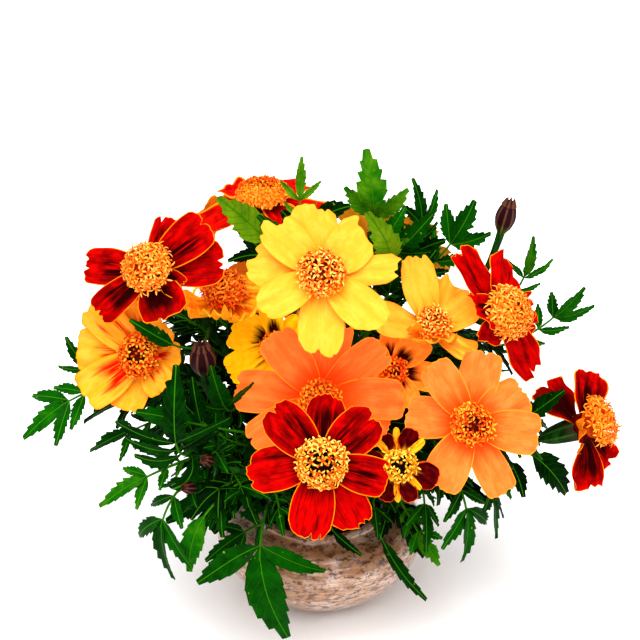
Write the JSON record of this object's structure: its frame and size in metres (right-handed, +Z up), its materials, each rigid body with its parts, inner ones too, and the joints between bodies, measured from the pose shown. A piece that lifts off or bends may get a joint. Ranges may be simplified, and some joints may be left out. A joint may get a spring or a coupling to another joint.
{
  "type": "bouquet of french marigolds in a bowl",
  "caption": "Low round stoneware bowl of water with a loose bouquet of cut French marigolds: yellow, orange and red single blooms, buds and toothed pinnate leaves.",
  "frame": {"origin": "centre of the bowl's flat foot, on the surface that it stands on", "axes": "+Z up, -Y towards the front of the arrangement, +X to its right as seen from the front"},
  "size_m": [0.2112, 0.1424, 0.1765],
  "materials": {
    "stoneware": "gloss",
    "water": "gloss",
    "foliage": "satin",
    "bud": "satin",
    "florets": "matte",
    "petal_lemon": "matte",
    "petal_gold": "matte",
    "petal_orange": "matte",
    "petal_red": "matte",
    "petal_maroon": "matte"
  },
  "bodies": {
    "root": {"bowl": "stoneware", "water": "water", "yellow_large_petals": "petal_lemon", "yellow_large_florets": "florets", "yellow_large_stem": "foliage", "red_front_petals": "petal_red", "red_front_florets": "florets", "red_front_stem": "foliage", "orange_right_petals": "petal_orange", "orange_right_florets": "florets", "orange_right_stem": "foliage", "orange_back_petals": "petal_orange", "orange_back_florets": "florets", "orange_back_stem": "foliage", "yellow_right_petals": "petal_lemon", "yellow_right_florets": "florets", "yellow_right_stem": "foliage", "red_left_petals": "petal_red", "red_left_florets": "florets", "red_left_stem": "foliage", "red_right_petals": "petal_red", "red_right_florets": "florets", "red_right_stem": "foliage", "red_far_right_petals": "petal_red", "red_far_right_florets": "florets", "red_far_right_stem": "foliage", "top_orange_petals": "petal_red", "top_orange_florets": "florets", "top_orange_stem": "foliage", "half_open_petals": "petal_gold", "half_open_florets": "florets", "half_open_stem": "foliage", "bicolor_left_petals": "petal_gold", "bicolor_left_florets": "florets", "bicolor_left_stem": "foliage", "golden_mid_petals": "petal_gold", "golden_mid_florets": "florets", "golden_mid_stem": "foliage", "bicolor_mid_petals": "petal_gold", "bicolor_mid_florets": "florets", "bicolor_mid_stem": "foliage", "dark_small_petals": "petal_maroon", "dark_small_florets": "florets", "dark_small_stem": "foliage", "red_behind_petals": "petal_red", "red_behind_florets": "florets", "red_behind_stem": "foliage", "yellow_behind_petals": "petal_lemon", "yellow_behind_florets": "florets", "yellow_behind_stem": "foliage", "orange_behind_petals": "petal_orange", "orange_behind_florets": "florets", "orange_behind_stem": "foliage", "spray_left": "foliage", "spray_front": "foliage", "spray_top": "foliage", "bud_top": "bud", "bud_left": "bud", "bud_low": "bud", "bud_side": "bud"}
  },
  "joints": []
}
